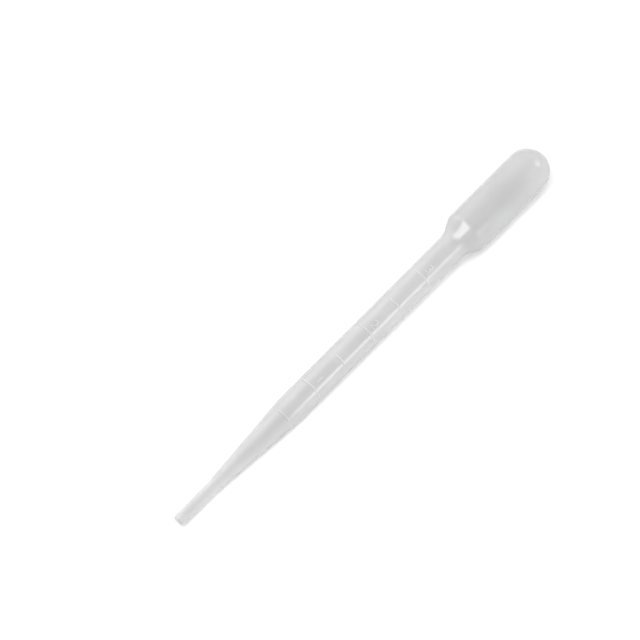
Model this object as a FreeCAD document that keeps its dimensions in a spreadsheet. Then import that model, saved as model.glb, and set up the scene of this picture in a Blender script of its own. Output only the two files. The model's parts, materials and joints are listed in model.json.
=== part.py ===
import FreeCAD, Part
import math
import os
import sys

import Sketcher
from FreeCAD import Vector

# A graduated 3 ml transfer pipette, blown in one piece from soft polyethylene: a dome-ended
# squeeze bulb, a shoulder, a graduated stem and a long taper down to a straight open tip.
#
# In the body's own frame the pipette lies along X, with the tip's mouth at X = 0 and the dome's
# pole at X = total_length. The body's Placement lays it down as it comes to rest on a bench, on
# the round of its shoulder and the start of its stem, so that its axis climbs to the bulb.
# Lengths are in millimetres and angles in degrees.

SIZES = {
    # Overall.
    "total_length": 155,
    "bulb_length": 38.5,  # from the corner between stem and shoulder to the dome's pole
    # Tip: a straight tube with a thick wall, cut square.
    "tip_diameter": 3.6,
    "tip_bore": 2,
    "tube_length": 15.5,
    # Taper, from the tube to the full stem.
    "taper_length": 30,
    "taper_blend": 60,  # radius that eases each end of the taper
    # Stem. One mark_spacing of its bore holds 0.5 ml.
    "stem_diameter": 8.2,
    "stem_wall": 0.42,
    # Shoulder and bulb.
    "shoulder_angle": 28,  # between the shoulder and the axis
    "neck_blend": 6,
    "shoulder_blend": 2.5,
    "bulb_diameter": 13,
    "bulb_wall": 0.4,
    # Parting line, where the two halves of the mould met.
    "seam_width": 0.3,
    "seam_height": 0.12,
    # Graduations, 0.5 ml apart and wider round the stem at each whole millilitre.
    "first_mark_drop": 3.1,  # from the 0.5 ml mark, on the taper, up to the stem's corner
    "mark_spacing": 11.75,
    "mark_width": 0.6,
    "mark_height": 0.2,
    "half_mark_sweep": 62,
    "whole_mark_sweep": 104,
    "marks_end_gap": 12,  # clear stem between the last mark and the neck
    "roll_angle": 20,  # how far round from straight up the graduations lie
}

DERIVED = {
    "tip_radius": "Sizes.tip_diameter / 2",
    "bore_radius": "Sizes.tip_bore / 2",
    "tube_middle_radius": "(tip_radius + bore_radius) / 2",
    "stem_radius": "Sizes.stem_diameter / 2",
    "bulb_radius": "Sizes.bulb_diameter / 2",
    # Stations along the axis.
    "stem_start": "Sizes.tube_length + Sizes.taper_length",
    "neck": "Sizes.total_length - Sizes.bulb_length",
    "shoulder": "neck + (bulb_radius - stem_radius) / tan(Sizes.shoulder_angle * 1 deg)",
    "dome_centre": "Sizes.total_length - bulb_radius",
    # Inset of each layer of the wall from the outer surface, at the stem and at the bulb.
    "outer_stem_inset": "0",
    "outer_bulb_inset": "0",
    "inner_stem_inset": "Sizes.stem_wall",
    "inner_bulb_inset": "Sizes.bulb_wall",
    "crest_stem_inset": "-Sizes.seam_height",
    "crest_bulb_inset": "-Sizes.seam_height",
    "middle_stem_inset": "Sizes.stem_wall / 2",
    "middle_bulb_inset": "Sizes.bulb_wall / 2",
    # How far along X a corner of the shoulder moves for each millimetre of inset.
    "corner_shift": "tan(Sizes.shoulder_angle / 2 * 1 deg)",
}

for layer in ("outer", "inner", "crest", "middle"):
    DERIVED |= {
        f"{layer}_stem_radius": f"stem_radius - {layer}_stem_inset",
        f"{layer}_bulb_radius": f"bulb_radius - {layer}_bulb_inset",
        f"{layer}_neck": f"neck + {layer}_stem_inset * corner_shift",
        f"{layer}_neck_blend": f"Sizes.neck_blend + {layer}_stem_inset",
        f"{layer}_shoulder": f"shoulder + {layer}_bulb_inset * corner_shift",
        f"{layer}_shoulder_blend": f"Sizes.shoulder_blend - {layer}_bulb_inset",
    }

DERIVED |= {
    # Graduations. The first stands on the taper, the rest on the stem.
    "first_mark": "stem_start - Sizes.first_mark_drop",
    "first_mark_radius": (
        "stem_radius - Sizes.first_mark_drop * (stem_radius - tip_radius) / Sizes.taper_length"
    ),
    "second_mark": "first_mark + Sizes.mark_spacing",
    "third_mark": "first_mark + 2 * Sizes.mark_spacing",
    "whole_mark_spacing": "2 * Sizes.mark_spacing",
    "whole_marks": (
        "floor((neck - Sizes.marks_end_gap - second_mark) / whole_mark_spacing) + 1"
    ),
    "half_marks": "floor((neck - Sizes.marks_end_gap - third_mark) / whole_mark_spacing) + 1",
    "mark_root": "Sizes.stem_wall / 2",
    "mark_crown_radius": "Sizes.mark_width ^ 2 / 8 / Sizes.mark_height + Sizes.mark_height / 2",
    # At rest the bench touches the round of the shoulder and, as the tip comes down, whichever
    # is first of the round at the stem's start and the rim of the tip. Each tilt is that of the
    # line that touches both. Drops are counted from the axis.
    "taper_turn": "atan((stem_radius - tip_radius) / Sizes.taper_length)",
    "stem_round": "stem_start + Sizes.taper_blend * tan(taper_turn / 2)",
    "stem_round_drop": "stem_radius - Sizes.taper_blend",
    "shoulder_round": "shoulder + Sizes.shoulder_blend * corner_shift",
    "shoulder_round_drop": "bulb_radius - Sizes.shoulder_blend",
    "stem_run": "shoulder_round - stem_round",
    "stem_rise": "shoulder_round_drop - stem_round_drop",
    "stem_cosine": (
        "(Sizes.taper_blend - Sizes.shoulder_blend) / sqrt(stem_run ^ 2 + stem_rise ^ 2)"
    ),
    "stem_tilt": "(atan(stem_rise / stem_run) + acos(stem_cosine)) / 1 deg - 90",
    "rim_rise": "shoulder_round_drop - tip_radius",
    "rim_sine": "Sizes.shoulder_blend / sqrt(shoulder_round ^ 2 + rim_rise ^ 2)",
    "rim_tilt": "(atan(rim_rise / shoulder_round) + asin(rim_sine)) / 1 deg",
    "rest_tilt": "min(stem_tilt; rim_tilt)",
    # Where the resting body's origin, the centre of the tip's mouth, lies from the point on the
    # bench below the middle of the pipette.
    "low_end": "-tip_radius * sin(rest_tilt * 1 deg)",
    "high_end": "dome_centre * cos(rest_tilt * 1 deg) + crest_bulb_radius",
    "mouth_offset": "-(low_end + high_end) / 2",
    "mouth_height": (
        "shoulder_round_drop * cos(rest_tilt * 1 deg) + Sizes.shoulder_blend"
        " - shoulder_round * sin(rest_tilt * 1 deg)"
    ),
}


def make_sheet(name, cells):
    """A sheet with a row for each value: its name, then the number or formula."""
    sheet = doc.addObject("Spreadsheet::Sheet", name)
    for row, (alias, content) in enumerate(cells.items(), start=1):
        sheet.set(f"A{row}", alias)
        sheet.set(f"B{row}", content)
        sheet.setAlias(f"B{row}", alias)
    doc.recompute()


def value(cell):
    """What a cell such as Sizes.tip_bore holds now."""
    sheet, alias = cell.split(".")
    return float(doc.getObject(sheet).get(alias))


def origin_feature(body, role):
    return next(feature for feature in body.Origin.OriginFeatures if feature.Role == role)


def add_sketch(body, name, plane):
    sketch = body.newObject("Sketcher::SketchObject", name)
    sketch.AttachmentSupport = [(origin_feature(body, plane), "")]
    sketch.MapMode = "FlatFace"
    return sketch


def bind(sketch, kind, references, cell):
    """Adds a dimension to the sketch and ties it to a cell."""
    number = sketch.addConstraint(Sketcher.Constraint(kind, *references, value(cell)))
    sketch.setExpression(f"Constraints[{number}]", cell)


def coincide(sketch, first, first_end, second, second_end):
    sketch.addConstraint(Sketcher.Constraint("Coincident", first, first_end, second, second_end))


def join(sketch, first, first_end, second, second_end):
    """Closes the gap between two ends with a straight line."""
    start = sketch.getPoint(first, first_end)
    line = sketch.addGeometry(Part.LineSegment(start, sketch.getPoint(second, second_end)))
    coincide(sketch, line, 1, first, first_end)
    coincide(sketch, line, 2, second, second_end)


def draw_layer(sketch, layer, start, corners):
    """
    One line of the wall's section. It begins at the start, given as an X or None for 0 and a
    radius, passes the corners on the taper and follows the layer along the stem, the shoulder and
    the bulb to the dome's pole. A corner is an X, a radius and the blend that rounds it. Returns
    the first line and the dome's arc.
    """
    stem = f"Derived.{layer}_stem_radius"
    bulb = f"Derived.{layer}_bulb_radius"
    corners = corners + [
        ("Derived.stem_start", stem, "Sizes.taper_blend"),
        (f"Derived.{layer}_neck", stem, f"Derived.{layer}_neck_blend"),
        (f"Derived.{layer}_shoulder", bulb, f"Derived.{layer}_shoulder_blend"),
        ("Derived.dome_centre", bulb, None),
    ]
    start_x, start_radius = start
    here = Vector(value(start_x) if start_x else 0, value(start_radius), 0)
    lines = []
    for x, radius, blend in corners:
        there = Vector(value(x), value(radius), 0)
        lines.append(sketch.addGeometry(Part.LineSegment(here, there)))
        here = there
    for line, following in zip(lines, lines[1:]):
        coincide(sketch, line, 2, following, 1)
    if start_x:
        bind(sketch, "DistanceX", (-1, 1, lines[0], 1), start_x)
    else:
        sketch.addConstraint(Sketcher.Constraint("PointOnObject", lines[0], 1, -2))
    bind(sketch, "DistanceY", (-1, 1, lines[0], 1), start_radius)
    for line, (x, radius, blend) in zip(lines, corners):
        bind(sketch, "DistanceX", (-1, 1, line, 2), x)
        bind(sketch, "DistanceY", (-1, 1, line, 2), radius)

    circle = Part.Circle(Vector(here.x, 0, 0), Vector(0, 0, 1), here.y)
    dome = sketch.addGeometry(Part.ArcOfCircle(circle, 0, math.pi / 2))
    coincide(sketch, dome, 2, lines[-1], 2)
    sketch.addConstraint(Sketcher.Constraint("PointOnObject", dome, 1, -1))
    sketch.addConstraint(Sketcher.Constraint("PointOnObject", dome, 3, -1))
    bind(sketch, "DistanceX", (-1, 1, dome, 3), "Derived.dome_centre")

    for line, (x, radius, blend) in zip(lines, corners):
        if blend:
            arc = sketch.GeometryCount
            sketch.fillet(line, 2, value(blend), True, True)
            bind(sketch, "Radius", (arc,), blend)
    return lines[0], dome


def add_wall(body):
    """The hollow body, turned from its section about the axis."""
    section = add_sketch(body, "wall_section", "XZ_Plane")
    blend = "Sizes.taper_blend"
    outer, outer_dome = draw_layer(
        section,
        "outer",
        (None, "Derived.tip_radius"),
        [("Sizes.tube_length", "Derived.tip_radius", blend)],
    )
    inner, inner_dome = draw_layer(
        section,
        "inner",
        (None, "Derived.bore_radius"),
        [("Sizes.tube_length", "Derived.bore_radius", blend)],
    )
    join(section, inner, 1, outer, 1)
    join(section, inner_dome, 1, outer_dome, 1)
    wall = body.newObject("PartDesign::Revolution", "wall")
    wall.Profile = section
    wall.ReferenceAxis = (section, ["H_Axis"])
    wall.Angle = 360


def add_seam(body):
    """
    The fine ridge that the mould leaves along both sides and over the dome. It rises out of the
    taper just above the tube, and its foot lies in the middle of the wall.
    """
    section = add_sketch(body, "seam_section", "XY_Plane")
    start = "Sizes.tube_length"
    crest, crest_dome = draw_layer(section, "crest", (start, "Derived.tip_radius"), [])
    foot, foot_dome = draw_layer(section, "middle", (start, "Derived.tube_middle_radius"), [])
    join(section, foot, 1, crest, 1)
    join(section, foot_dome, 1, crest_dome, 1)
    ridge = body.newObject("PartDesign::Pad", "seam_ridge")
    ridge.Profile = section
    ridge.SideType = "Symmetric"
    ridge.setExpression("Length", "Sizes.seam_width")
    both = body.newObject("PartDesign::Mirrored", "seam_both_sides")
    both.Originals = [ridge]
    both.MirrorPlane = (origin_feature(body, "XZ_Plane"), [""])
    body.Tip = both


def add_mark(body, name, station, radius, sweep):
    """A raised graduation with a round crown, over part of the way round the stem."""
    section = add_sketch(body, f"{name}_section", "XZ_Plane")
    middle = value(station)
    foot = value(radius) - value("Derived.mark_root")
    half = value("Sizes.mark_width") / 2
    corners = [
        Vector(middle - half, value(radius), 0),
        Vector(middle - half, foot, 0),
        Vector(middle + half, foot, 0),
        Vector(middle + half, value(radius), 0),
    ]
    left, base, right = (
        section.addGeometry(Part.LineSegment(a, b)) for a, b in zip(corners, corners[1:])
    )
    top = Vector(middle, value(radius) + value("Sizes.mark_height"), 0)
    crown = section.addGeometry(Part.Arc(corners[3], top, corners[0]))
    centre = section.addGeometry(Part.Point(Vector(middle, foot, 0)), True)
    for first, second in ((left, base), (base, right), (right, crown), (crown, left)):
        coincide(section, first, 2, second, 1)
    for line, direction in ((left, "Vertical"), (base, "Horizontal"), (right, "Vertical")):
        section.addConstraint(Sketcher.Constraint(direction, line))
    section.addConstraint(Sketcher.Constraint("Symmetric", base, 1, base, 2, centre, 1))
    bind(section, "DistanceX", (-1, 1, centre, 1), station)
    bind(section, "DistanceX", (base, 1, base, 2), "Sizes.mark_width")
    bind(section, "DistanceY", (-1, 1, left, 1), radius)
    bind(section, "DistanceY", (left, 2, left, 1), "Derived.mark_root")
    section.addConstraint(Sketcher.Constraint("Horizontal", left, 1, right, 2))
    bind(section, "Radius", (crown,), "Derived.mark_crown_radius")

    mark = body.newObject("PartDesign::Revolution", name)
    mark.Profile = section
    mark.ReferenceAxis = (section, ["H_Axis"])
    mark.Midplane = True
    mark.setExpression("Angle", sweep)
    return mark


def repeat_along_stem(body, mark, count):
    """Copies of a mark up the stem, a whole millilitre apart."""
    row = body.newObject("PartDesign::LinearPattern", f"{mark.Name}_row")
    row.Originals = [mark]
    row.Direction = (origin_feature(body, "X_Axis"), [""])
    row.Mode = "Spacing"
    row.setExpression("Offset", "Derived.whole_mark_spacing")
    row.setExpression("Occurrences", count)
    body.Tip = row


doc = FreeCAD.newDocument("transfer_pipette")
make_sheet("Sizes", {alias: str(number) for alias, number in SIZES.items()})
make_sheet("Derived", {alias: f"={formula}" for alias, formula in DERIVED.items()})

pipette = doc.addObject("PartDesign::Body", "pipette")
pipette.Label = "pipette"
add_wall(pipette)
add_seam(pipette)
add_mark(
    pipette,
    "first_mark",
    "Derived.first_mark",
    "Derived.first_mark_radius",
    "Sizes.half_mark_sweep",
)
whole_mark = add_mark(
    pipette, "whole_mark", "Derived.second_mark", "Derived.stem_radius", "Sizes.whole_mark_sweep"
)
repeat_along_stem(pipette, whole_mark, "Derived.whole_marks")
half_mark = add_mark(
    pipette, "half_mark", "Derived.third_mark", "Derived.stem_radius", "Sizes.half_mark_sweep"
)
repeat_along_stem(pipette, half_mark, "Derived.half_marks")
pipette.setExpression(
    "Placement",
    "placement(vector(Derived.mouth_offset; 0; Derived.mouth_height);"
    " rotation(0; -Derived.rest_tilt; Sizes.roll_angle))",
)
doc.recompute()

failed = [part.Label for part in doc.Objects if {"Invalid", "Error"} & set(part.State)]
if failed:
    sys.exit(f"these did not compute: {', '.join(failed)}")
solid = pipette.Shape
if solid.isNull() or not solid.isValid() or len(solid.Solids) != 1:
    sys.exit("the pipette is not one valid solid")
print(f"{solid.Volume:.1f} mm3, box {solid.BoundBox}, tilt {value('Derived.rest_tilt'):.2f} degrees")

os.makedirs("parts", exist_ok=True)
solid.exportStep("parts/pipette.step")
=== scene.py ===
import json
import math

import bmesh
import bpy
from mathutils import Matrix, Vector


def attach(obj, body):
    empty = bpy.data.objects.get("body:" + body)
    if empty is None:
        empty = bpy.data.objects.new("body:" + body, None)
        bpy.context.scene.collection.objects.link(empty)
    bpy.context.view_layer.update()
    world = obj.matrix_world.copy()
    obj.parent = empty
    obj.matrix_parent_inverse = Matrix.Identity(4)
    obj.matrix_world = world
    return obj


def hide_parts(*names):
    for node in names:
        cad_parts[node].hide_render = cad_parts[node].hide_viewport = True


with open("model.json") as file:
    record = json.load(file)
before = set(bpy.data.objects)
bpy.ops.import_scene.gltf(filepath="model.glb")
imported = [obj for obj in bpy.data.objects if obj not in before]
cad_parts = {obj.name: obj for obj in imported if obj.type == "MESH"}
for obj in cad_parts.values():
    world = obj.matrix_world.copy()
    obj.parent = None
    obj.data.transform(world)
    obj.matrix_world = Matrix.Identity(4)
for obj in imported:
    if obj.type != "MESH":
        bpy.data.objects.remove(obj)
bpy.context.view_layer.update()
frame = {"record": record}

# A 3 ml transfer pipette, blown in one piece from milky polyethylene and lying on a white bench.
# It is modelled along X, with the tip's mouth at X = 0 and the graduations facing up, and is
# then laid down where the frame's own pipette lies. All lengths are in metres.

MM = 0.001

# The wall's outer side, from the tip's mouth to the dome.
TIP_RADIUS = 1.8 * MM
TUBE_END = 15.5 * MM
STEM_START = 45.5 * MM
STEM_RADIUS = 4.1 * MM
NECK = 116.5 * MM
SHOULDER_TURN = math.radians(28)
BULB_RADIUS = 6.5 * MM
SHOULDER = NECK + (BULB_RADIUS - STEM_RADIUS) / math.tan(SHOULDER_TURN)
DOME_CENTRE = 148.5 * MM

# The hollow: the bore of the tip's tube, and the thickness of the wall further up.
BORE_RADIUS = 1.0 * MM
STEM_WALL = 0.42 * MM
BULB_WALL = 0.4 * MM

# The radii of the curves that ease the section's corners.
TAPER_BLEND = 60 * MM
NECK_BLEND = 6 * MM
SHOULDER_BLEND = 2.5 * MM
MOUTH_ROUNDING = 0.1 * MM

# The graduations, 0.5 ml apart. Every second one is a whole millilitre, and reaches further
# round the stem.
MARKS = 6
FIRST_MARK = 42.4 * MM
MARK_SPACING = 11.75 * MM
MARK_WIDTH = 0.6 * MM
MARK_HEIGHT = 0.2 * MM
MARK_ROUNDING = 0.19 * MM
HALF_MARK_SWEEP = math.radians(62)
WHOLE_MARK_SWEEP = math.radians(104)

# The numerals beside the whole millilitres, rooted in the stem's wall.
NUMERAL_SIZE = 3.9 * MM
NUMERAL_BOLDNESS = 0.02 * MM
NUMERAL_GAP = 1.5 * MM
NUMERAL_HEIGHT = 0.16 * MM
NUMERAL_ROOT = 0.4 * MM
NUMERAL_ROUNDING = 0.06 * MM

# The parting line's ridge, which stops short of the dome's pole.
SEAM_HEIGHT = 0.12 * MM
SEAM_ROUNDING = 0.06 * MM
POLE_GAP = 0.6 * MM

# How far inside the section's sharp-cornered outer line the wall's outer faces are looked for.
# The wider one, for the shoulder and bulb, also takes in a patch 0.4 mm long inside the neck on
# each side, so that the parting line's ridge is raised there too.
SLACK = 0.2 * MM
SHOULDER_SLACK = 0.3 * MM

# How far round from straight up the graduations lie, once the pipette is laid down.
ROLL = math.radians(20)

# How finely the wall is divided, and how close two points are taken to be one.
STEPS_AROUND = 180
DOME_STEPS = 24
BLEND_STEPS = 8
SAME_PLACE = 1e-6

# The milkiness of the tip and stem, and of the bulb. It changes from the one to the other
# between the two distances of MILK_CHANGE from the pipette's middle.
WALL_MILK = (0.69, 0.655)
RAISED_MILK = (0.76, 0.75)
MILK_CHANGE = (20 * MM, 48 * MM)
# The lowest and highest value of each finish, which drifts between them along the wall. The
# clouding scales the milkiness.
OUTER_ALPHA = (0.56, 0.58)
RAISED_ALPHA = (0.6, 0.64)
INNER_ALPHA = (0.09, 0.11)
OUTER_ROUGHNESS = (0.13, 0.17)
INNER_ROUGHNESS = (0.2, 0.24)
CLOUDING = (0.965, 1.035)
# Higher than that of real polyethylene, about 1.5, for a stronger sheen.
SHEEN_IOR = 1.9
# The order of the materials on the wall, after the outer skin.
INNER_SKIN, RAISED_SKIN = 1, 2

# The bench looks whiter than the light that it sends back to the pipette would make it, and
# fades to plain white between the two distances of BENCH_FADE from its middle.
BENCH_RADIUS = 3
BENCH_COLOUR = 0.86
BENCH_SEEN = 1.06
BENCH_FADE = (0.22, 0.55)
# How strongly the room lights the pipette from its sides and from overhead.
ROOM_SIDE = 0.8
ROOM_TOP = 0.1
# Where it is seen or mirrored, the room is white but for a dimmer gap between the softboxes.
# GAP_EDGE is the cosine of the angle from the gap's middle to its edge.
GAP_SEEN = 0.58
GAP_DIRECTION = (0.374, -0.332, 0.866)
GAP_EDGE = 0.6


# ---------------------------------------------------------------- the moulded wall


def deselect_all():
    if bpy.context.mode != "OBJECT":
        bpy.ops.object.mode_set(mode="OBJECT")
    bpy.ops.object.select_all(action="DESELECT")


def make_active(piece):
    deselect_all()
    piece.select_set(True)
    bpy.context.view_layer.objects.active = piece


def pick(kind, test):
    """Selects just the vertices or faces of the mesh in edit mode whose middle passes the test."""
    piece = bpy.context.edit_object
    bpy.ops.mesh.select_mode(type="VERT" if kind == "verts" else "FACE")
    bpy.ops.mesh.select_all(action="DESELECT")
    mesh = bmesh.from_edit_mesh(piece.data)
    for item in getattr(mesh, kind):
        place = item.co if kind == "verts" else item.calc_center_median()
        if test(place):
            item.select_set(True)
    bmesh.update_edit_mesh(piece.data)


def pick_corner(x, radius):
    """Selects the corner of the section at this place."""
    pick("verts", lambda place: (place - Vector((x, 0, radius))).length < SAME_PLACE)


def draw_line(points):
    """Draws the section on, from the selected corner through each point."""
    for here, there in zip(points, points[1:]):
        step = (there[0] - here[0], 0, there[1] - here[1])
        bpy.ops.mesh.extrude_vertices_move(TRANSFORM_OT_translate={"value": step})


def round_corner(corner, reach, segments):
    """Eases a corner of the section, over this reach along each of its two sides."""
    pick_corner(*corner)
    bpy.ops.mesh.bevel(
        offset=reach, segments=segments, affect="VERTICES", offset_type="OFFSET", profile=0.5
    )


def section_line(mouth_radius, stem_radius, bulb_radius, inset):
    """The corners of one side of the wall, from the mouth to where the dome begins.

    The inner side's neck and shoulder lie further along, which keeps the wall's thickness on
    the slope between them.
    """
    shift = inset * math.tan(SHOULDER_TURN / 2)
    return [
        (0, mouth_radius),
        (TUBE_END, mouth_radius),
        (STEM_START, stem_radius),
        (NECK + shift, stem_radius),
        (SHOULDER + shift, bulb_radius),
        (DOME_CENTRE, bulb_radius),
    ]


def wall_radius(x):
    """How far the outer side is from the axis, between the tube and the neck."""
    rise = (x - TUBE_END) * (STEM_RADIUS - TIP_RADIUS) / (STEM_START - TUBE_END)
    return min(TIP_RADIUS + rise, STEM_RADIUS)


def mark_middle(number):
    """Where along the pipette a graduation is, counted from 0 at the 0.5 ml one."""
    return FIRST_MARK + number * MARK_SPACING


def with_mark_edges(line):
    """The outer line, with a point added at each edge of each graduation."""
    edges = []
    for number in range(MARKS):
        for side in (-1, 1):
            x = mark_middle(number) + side * MARK_WIDTH / 2
            edges.append((x, wall_radius(x)))
    return sorted(line + edges)


def draw_dome(radius):
    """Turns the end of the line a quarter round the dome's centre, up to the pole."""
    pick_corner(DOME_CENTRE, radius)
    bpy.ops.mesh.spin(
        steps=DOME_STEPS,
        angle=math.pi / 2,
        center=(DOME_CENTRE, 0, 0),
        axis=(0, -1, 0),
        use_auto_merge=False,
    )


def ease_corners(line, inset):
    """Eases both ends of the taper and of the shoulder, on one side of the wall."""
    tube_end, stem_start, neck, shoulder = line[1:5]
    taper_turn = math.atan2(stem_start[1] - tube_end[1], stem_start[0] - tube_end[0])
    taper_reach = TAPER_BLEND * math.tan(taper_turn / 2)
    shoulder_half = math.tan(SHOULDER_TURN / 2)
    round_corner(tube_end, taper_reach, BLEND_STEPS)
    round_corner(stem_start, taper_reach, BLEND_STEPS)
    round_corner(neck, (NECK_BLEND + inset) * shoulder_half, BLEND_STEPS)
    round_corner(shoulder, (SHOULDER_BLEND - inset) * shoulder_half, BLEND_STEPS)


def mould_wall():
    """The hollow wall: both sides of its section, joined at the mouth and spun round the axis."""
    deselect_all()
    bpy.ops.mesh.primitive_plane_add(size=MM, location=(0, 0, 0))
    wall = bpy.context.object
    wall.name = "pipette_wall"
    bpy.ops.object.mode_set(mode="EDIT")
    bpy.ops.mesh.select_all(action="SELECT")
    bpy.ops.mesh.merge(type="CENTER")
    bpy.ops.transform.translate(value=(0, 0, TIP_RADIUS))

    outer = section_line(TIP_RADIUS, STEM_RADIUS, BULB_RADIUS, 0)
    inner = section_line(
        BORE_RADIUS, STEM_RADIUS - STEM_WALL, BULB_RADIUS - BULB_WALL, STEM_WALL
    )
    draw_line(with_mark_edges(outer))
    draw_dome(BULB_RADIUS)
    pick_corner(0, TIP_RADIUS)
    draw_line([outer[0]] + inner)
    draw_dome(BULB_RADIUS - BULB_WALL)
    ease_corners(outer, 0)
    ease_corners(inner, STEM_WALL)
    round_corner(outer[0], MOUTH_ROUNDING, 3)
    round_corner(inner[0], MOUTH_ROUNDING, 3)

    bpy.ops.mesh.select_all(action="SELECT")
    bpy.ops.mesh.spin(
        steps=STEPS_AROUND, angle=2 * math.pi, center=(0, 0, 0), axis=(1, 0, 0)
    )
    bpy.ops.mesh.select_all(action="SELECT")
    bpy.ops.mesh.remove_doubles(threshold=SAME_PLACE)
    bpy.ops.mesh.normals_make_consistent(inside=False)
    bpy.ops.object.mode_set(mode="OBJECT")
    return wall


def angle_round(place):
    """How far round the axis a point lies from straight up."""
    return math.atan2(place.y, place.z)


def radius_at(place):
    return math.hypot(place.y, place.z)


def outside(place, radius, slack):
    """True for a place on the outer side, where that side is about this far from the axis."""
    return radius_at(place) > radius - slack


def raise_faces(height, round_reach):
    """Raises the selected faces into a ridge with a rounded crest."""
    bpy.ops.mesh.extrude_region_shrink_fatten(
        TRANSFORM_OT_shrink_fatten={"value": height}
    )
    bpy.ops.mesh.region_to_loop()
    bpy.ops.mesh.bevel(offset=round_reach, segments=3, affect="EDGES", profile=0.5)


def raise_marks(wall):
    """The graduations, each a ridge part of the way round the stem."""
    make_active(wall)
    bpy.ops.object.mode_set(mode="EDIT")
    for number in range(MARKS):
        middle = mark_middle(number)
        sweep = WHOLE_MARK_SWEEP if number % 2 else HALF_MARK_SWEEP
        pick(
            "faces",
            lambda place: abs(place.x - middle) < MARK_WIDTH / 2
            and abs(angle_round(place)) < sweep / 2
            and outside(place, wall_radius(place.x), SLACK),
        )
        raise_faces(MARK_HEIGHT, MARK_ROUNDING)
    bpy.ops.object.mode_set(mode="OBJECT")


def raise_seam(wall):
    """The fine ridge of the parting line, along both sides and over the dome."""
    make_active(wall)
    bpy.ops.object.mode_set(mode="EDIT")
    step = 2 * math.pi / STEPS_AROUND

    def on_seam(place):
        if abs(abs(angle_round(place)) - math.pi / 2) > step or place.x < TUBE_END:
            return False
        if place.x > DOME_CENTRE:
            from_centre = (place - Vector((DOME_CENTRE, 0, 0))).length
            return from_centre > BULB_RADIUS - SLACK and radius_at(place) > POLE_GAP
        if place.x > NECK:
            rise = (place.x - NECK) * math.tan(SHOULDER_TURN)
            return outside(place, min(STEM_RADIUS + rise, BULB_RADIUS), SHOULDER_SLACK)
        return outside(place, wall_radius(place.x), SLACK)

    pick("faces", on_seam)
    raise_faces(SEAM_HEIGHT, SEAM_ROUNDING)
    bpy.ops.object.mode_set(mode="OBJECT")


def lay_down(piece):
    """Lays a piece that was modelled along X on the bench, where the frame's pipette lies."""
    tip = next(mount for mount in frame["record"]["mounts"] if mount["name"] == "tip")
    towards_bulb = -Vector(tip["axis"])
    mouth = Vector(tip["pos_m"]) - towards_bulb * (tip["dims"]["length_mm"] / 2) * MM
    tilt = math.atan2(towards_bulb.z, towards_bulb.x)
    make_active(piece)
    piece.rotation_euler = (ROLL, -tilt, 0)
    piece.location = mouth
    bpy.ops.object.transform_apply(location=True, rotation=True, scale=True)


# ---------------------------------------------------------------- the material


def noise(nodes, links, place, scale, detail):
    """A noise pattern stretched along each axis by its scale, which is in repeats a metre."""
    mapping = nodes.new("ShaderNodeMapping")
    mapping.inputs["Scale"].default_value = scale
    links.new(place.outputs["Object"], mapping.inputs["Vector"])
    texture = nodes.new("ShaderNodeTexNoise")
    texture.inputs["Scale"].default_value = 1
    texture.inputs["Detail"].default_value = detail
    links.new(mapping.outputs["Vector"], texture.inputs["Vector"])
    return texture.outputs["Fac"]


def spread(nodes, links, source, low, high):
    """Carries the middle of a noise pattern to the range from low to high."""
    ramp = nodes.new("ShaderNodeMapRange")
    ramp.inputs["From Min"].default_value = 0.3
    ramp.inputs["From Max"].default_value = 0.7
    ramp.inputs["To Min"].default_value = low
    ramp.inputs["To Max"].default_value = high
    links.new(source, ramp.inputs["Value"])
    return ramp.outputs["Result"]


def milky_polyethylene(name, milkiness, alpha, roughness):
    """Milky, see-through and softly glossy, with faint flow lines from the blowing.

    The milkiness is given for the tip and stem, and then for the bulb.
    """
    material = bpy.data.materials.new(name)
    material.use_nodes = True
    nodes, links = material.node_tree.nodes, material.node_tree.links
    shader = nodes["Principled BSDF"]
    shader.inputs["IOR"].default_value = SHEEN_IOR
    shader.inputs["Specular IOR Level"].default_value = 1.0

    place = nodes.new("ShaderNodeTexCoord")
    flow = noise(nodes, links, place, (25, 260, 260), 2)
    cloud = noise(nodes, links, place, (90, 140, 140), 1)
    grain = noise(nodes, links, place, (2600, 2600, 2600), 2)

    along = nodes.new("ShaderNodeSeparateXYZ")
    links.new(place.outputs["Object"], along.inputs["Vector"])
    change = nodes.new("ShaderNodeMapRange")
    change.interpolation_type = "SMOOTHSTEP"
    change.inputs["From Min"].default_value = MILK_CHANGE[0]
    change.inputs["From Max"].default_value = MILK_CHANGE[1]
    change.inputs["To Min"].default_value = milkiness[0]
    change.inputs["To Max"].default_value = milkiness[1]
    links.new(along.outputs["X"], change.inputs["Value"])
    milk = nodes.new("ShaderNodeMath")
    milk.operation = "MULTIPLY"
    links.new(change.outputs["Result"], milk.inputs[0])
    links.new(spread(nodes, links, cloud, *CLOUDING), milk.inputs[1])
    links.new(milk.outputs["Value"], shader.inputs["Base Color"])
    links.new(spread(nodes, links, flow, *roughness), shader.inputs["Roughness"])
    links.new(spread(nodes, links, cloud, *alpha), shader.inputs["Alpha"])

    flow_lines = nodes.new("ShaderNodeBump")
    flow_lines.inputs["Strength"].default_value = 0.05
    flow_lines.inputs["Distance"].default_value = 0.03 * MM
    links.new(flow, flow_lines.inputs["Height"])
    fine_grain = nodes.new("ShaderNodeBump")
    fine_grain.inputs["Strength"].default_value = 0.03
    fine_grain.inputs["Distance"].default_value = 0.01 * MM
    links.new(grain, fine_grain.inputs["Height"])
    links.new(flow_lines.outputs["Normal"], fine_grain.inputs["Normal"])
    links.new(fine_grain.outputs["Normal"], shader.inputs["Normal"])
    return material


# ---------------------------------------------------------------- the numerals


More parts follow.
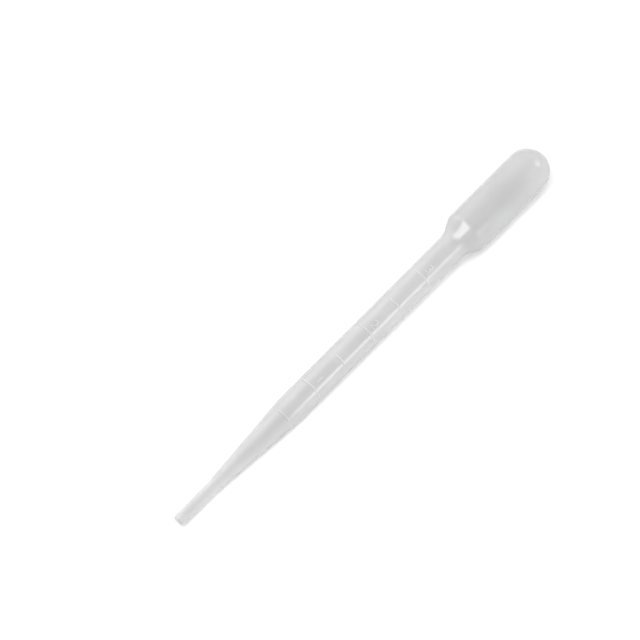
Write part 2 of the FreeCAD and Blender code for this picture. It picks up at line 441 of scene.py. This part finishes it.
def cut_numerals():
    """The numerals 1, 2 and 3, which stand just above their graduations on the stem.

    They are cut from the font as prisms, and trimmed to a round crest that follows the stem.
    """
    half_depth = 1 * MM
    numerals = []
    for number in (1, 2, 3):
        deselect_all()
        bpy.ops.object.text_add()
        numeral = bpy.context.object
        numeral.data.body = str(number)
        numeral.data.align_x = "CENTER"
        numeral.data.size = NUMERAL_SIZE
        numeral.data.extrude = half_depth
        numeral.data.offset = NUMERAL_BOLDNESS
        bpy.ops.object.convert(target="MESH")
        numeral = bpy.context.object
        foot = mark_middle(2 * number - 1) + NUMERAL_GAP
        numeral.rotation_euler = (0, 0, -math.pi / 2)
        numeral.location = (foot, 0, STEM_RADIUS - NUMERAL_ROOT + half_depth)
        bpy.ops.object.transform_apply(location=True, rotation=True, scale=True)
        numerals.append(numeral)
    deselect_all()
    for numeral in numerals:
        numeral.select_set(True)
    bpy.context.view_layer.objects.active = numerals[0]
    bpy.ops.object.join()
    joined = bpy.context.object
    joined.name = "numerals"
    bpy.ops.object.mode_set(mode="EDIT")
    bpy.ops.mesh.select_all(action="SELECT")
    bpy.ops.mesh.remove_doubles(threshold=SAME_PLACE)
    bpy.ops.mesh.normals_make_consistent(inside=False)

    deselect_all()
    bpy.ops.mesh.primitive_cylinder_add(
        vertices=STEPS_AROUND,
        radius=STEM_RADIUS + NUMERAL_HEIGHT,
        depth=NECK - STEM_START,
        location=((STEM_START + NECK) / 2, 0, 0),
        rotation=(0, math.pi / 2, 0),
    )
    crest = bpy.context.object
    combine(joined, crest, "INTERSECT")

    make_active(joined)
    bpy.ops.object.mode_set(mode="EDIT")
    pick("faces", lambda place: radius_at(place) > STEM_RADIUS + 0.8 * NUMERAL_HEIGHT)
    bpy.ops.mesh.region_to_loop()
    bpy.ops.mesh.bevel(
        offset=NUMERAL_ROUNDING, segments=2, affect="EDGES", clamp_overlap=True
    )
    bpy.ops.object.mode_set(mode="OBJECT")
    return joined


def combine(piece, other, operation):
    """A boolean of the piece with another one, which is then removed."""
    make_active(piece)
    boolean = piece.modifiers.new("boolean", "BOOLEAN")
    boolean.operation = operation
    boolean.solver = "MANIFOLD"
    boolean.object = other
    bpy.ops.object.modifier_apply(modifier=boolean.name)
    bpy.data.objects.remove(other, do_unlink=True)


def inner_faces(wall):
    """Gives the faces that look in on the hollow the inner skin.

    The mouth's flat end faces along the axis, and keeps the outer skin.
    """
    for face in wall.data.polygons:
        middle = face.center
        outward = Vector((0, middle.y, middle.z))
        if middle.x > DOME_CENTRE:
            outward.x = middle.x - DOME_CENTRE
        elif abs(face.normal.x) > 0.9:
            continue
        if face.normal.dot(outward) < 0:
            face.material_index = INNER_SKIN


def raised_faces(wall):
    """Gives the graduations and numerals, where the wall is thicker, the raised skin.

    Both are on the stem's upper side, where the parting line's ridge doesn't come.
    """
    upper_side = math.radians(60)
    least_height = 0.03 * MM
    for face in wall.data.polygons:
        middle = face.center
        if (
            FIRST_MARK - MARK_WIDTH < middle.x < NECK - NECK_BLEND
            and radius_at(middle) > wall_radius(middle.x) + least_height
            and abs(angle_round(middle)) < upper_side
        ):
            face.material_index = RAISED_SKIN


def make_pipette():
    wall = mould_wall()
    combine(wall, cut_numerals(), "UNION")
    raise_marks(wall)
    raise_seam(wall)
    make_active(wall)
    bpy.ops.object.shade_smooth_by_angle(angle=math.radians(35))
    wall.data.materials.clear()
    for name, milkiness, alpha, roughness in (
        ("outer_skin", WALL_MILK, OUTER_ALPHA, OUTER_ROUGHNESS),
        ("inner_skin", WALL_MILK, INNER_ALPHA, INNER_ROUGHNESS),
        ("raised_skin", RAISED_MILK, RAISED_ALPHA, OUTER_ROUGHNESS),
    ):
        wall.data.materials.append(milky_polyethylene(name, milkiness, alpha, roughness))
    inner_faces(wall)
    raised_faces(wall)
    lay_down(wall)
    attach(wall, "root")
    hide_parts("pipette")
    return wall


# ---------------------------------------------------------------- bench, light and camera


def seen_directly(nodes, links):
    """1 for a ray that shows something to the camera, and 0 for one that only gathers light.

    The first kind are camera rays, and those from a glossy surface or through a clear one.
    """
    rays = nodes.new("ShaderNodeLightPath")
    total = rays.outputs["Is Camera Ray"]
    for name in ("Is Glossy Ray", "Is Transmission Ray"):
        largest = nodes.new("ShaderNodeMath")
        largest.operation = "MAXIMUM"
        links.new(total, largest.inputs[0])
        links.new(rays.outputs[name], largest.inputs[1])
        total = largest.outputs[0]
    return total


def lay_bench():
    """A white bench, which keeps the pipette's shadow and fades to plain white further off."""
    deselect_all()
    bpy.ops.mesh.primitive_circle_add(
        vertices=96, radius=BENCH_RADIUS, fill_type="NGON", location=(0, 0, 0)
    )
    bench = bpy.context.object
    bench.name = "bench"
    material = bpy.data.materials.new("white_bench")
    material.use_nodes = True
    nodes, links = material.node_tree.nodes, material.node_tree.links
    shader = nodes["Principled BSDF"]
    shader.inputs["Roughness"].default_value = 0.9
    shader.inputs["Specular IOR Level"].default_value = 0.0
    seen = seen_directly(nodes, links)
    whiteness = nodes.new("ShaderNodeMapRange")
    whiteness.clamp = False
    whiteness.inputs["To Min"].default_value = BENCH_COLOUR
    whiteness.inputs["To Max"].default_value = BENCH_SEEN
    links.new(seen, whiteness.inputs["Value"])
    links.new(whiteness.outputs["Result"], shader.inputs["Base Color"])

    place = nodes.new("ShaderNodeTexCoord")
    distance = nodes.new("ShaderNodeVectorMath")
    distance.operation = "LENGTH"
    links.new(place.outputs["Object"], distance.inputs[0])
    far = nodes.new("ShaderNodeMapRange")
    far.interpolation_type = "SMOOTHSTEP"
    far.inputs["From Min"].default_value = BENCH_FADE[0]
    far.inputs["From Max"].default_value = BENCH_FADE[1]
    links.new(distance.outputs["Value"], far.inputs["Value"])
    share = nodes.new("ShaderNodeMath")
    share.operation = "MULTIPLY"
    links.new(seen, share.inputs[0])
    links.new(far.outputs["Result"], share.inputs[1])
    white = nodes.new("ShaderNodeEmission")
    white.inputs["Color"].default_value = (1, 1, 1, 1)
    fade = nodes.new("ShaderNodeMixShader")
    links.new(share.outputs[0], fade.inputs["Fac"])
    links.new(shader.outputs["BSDF"], fade.inputs[1])
    links.new(white.outputs["Emission"], fade.inputs[2])
    links.new(fade.outputs["Shader"], nodes["Material Output"].inputs["Surface"])
    bench.data.materials.append(material)


def gap_overhead(nodes, links, direction):
    """White all round, but dimmer towards the gap between the softboxes overhead."""
    towards_gap = nodes.new("ShaderNodeVectorMath")
    towards_gap.operation = "DOT_PRODUCT"
    towards_gap.inputs[1].default_value = GAP_DIRECTION
    links.new(direction.outputs["Generated"], towards_gap.inputs[0])
    dimming = nodes.new("ShaderNodeMapRange")
    dimming.inputs["From Min"].default_value = GAP_EDGE
    dimming.inputs["From Max"].default_value = 1.0
    dimming.inputs["To Min"].default_value = 1.0
    dimming.inputs["To Max"].default_value = GAP_SEEN
    links.new(towards_gap.outputs["Value"], dimming.inputs["Value"])
    return dimming.outputs["Result"]


def surround():
    """A pale room that lights more from its sides than from overhead, and is seen white."""
    world = bpy.data.worlds.new("studio")
    bpy.context.scene.world = world
    world.use_nodes = True
    nodes, links = world.node_tree.nodes, world.node_tree.links
    background = nodes["Background"]
    background.inputs["Color"].default_value = (1, 1, 1, 1)
    direction = nodes.new("ShaderNodeTexCoord")
    split = nodes.new("ShaderNodeSeparateXYZ")
    links.new(direction.outputs["Generated"], split.inputs["Vector"])
    room = nodes.new("ShaderNodeMapRange")
    room.inputs["From Min"].default_value = 0.2
    room.inputs["From Max"].default_value = 0.9
    room.inputs["To Min"].default_value = ROOM_SIDE
    room.inputs["To Max"].default_value = ROOM_TOP
    links.new(split.outputs["Z"], room.inputs["Value"])
    strength = nodes.new("ShaderNodeMix")
    links.new(seen_directly(nodes, links), strength.inputs["Factor"])
    links.new(room.outputs["Result"], strength.inputs["A"])
    links.new(gap_overhead(nodes, links, direction), strength.inputs["B"])
    links.new(strength.outputs["Result"], background.inputs["Strength"])


def hang_softbox(name, place, size, power, mirrored=True):
    """A softbox turned to the pipette. Only a mirrored one shows in reflections."""
    deselect_all()
    bpy.ops.object.light_add(type="AREA", location=place)
    lamp = bpy.context.object
    lamp.name = name
    lamp.data.shape = "RECTANGLE"
    lamp.data.size, lamp.data.size_y = size
    lamp.data.energy = power
    lamp.rotation_mode = "QUATERNION"
    lamp.rotation_quaternion = (-Vector(place)).to_track_quat("-Z", "Y")
    lamp.visible_camera = False
    lamp.visible_glossy = mirrored


def set_camera():
    """A long lens that looks steeply down on the pipette."""
    azimuth, elevation, distance = math.radians(-48.35), math.radians(60), 1.4
    looked_at = Vector((-5.5, 11.79, 7.15)) * MM
    back = Vector((
        math.sin(azimuth) * math.cos(elevation),
        -math.cos(azimuth) * math.cos(elevation),
        math.sin(elevation),
    ))
    bpy.ops.object.camera_add()
    camera = bpy.context.object
    camera.name = "camera"
    camera.data.lens = 279
    camera.data.clip_start, camera.data.clip_end = 0.01, 20
    camera.location = looked_at + back * distance
    camera.rotation_mode = "QUATERNION"
    camera.rotation_quaternion = (-back).to_track_quat("-Z", "Y")
    bpy.context.scene.camera = camera


make_pipette()
lay_bench()
surround()
hang_softbox("key_softbox", (-0.44, 0.146, 1.147), (1.15, 0.68), 5.4)
hang_softbox("top_softbox", (0, -0.11, 1.1), (1.2, 0.2), 4.1, mirrored=False)
hang_softbox("end_softbox", (0.88, -0.42, 0.8), (0.65, 0.6), 1.8)
hang_softbox("strip_softbox", (0.085, -0.262, 0.128), (0.11, 0.1), 0.06)
hang_softbox("left_softbox", (0.06, 0.52, 0.30), (0.4, 0.69), 0.5)
hang_softbox("right_softbox", (0.1, -1.0, 0.55), (0.9, 0.4), 1.9, mirrored=False)
set_camera()
bpy.context.scene.view_settings.view_transform = "Standard"
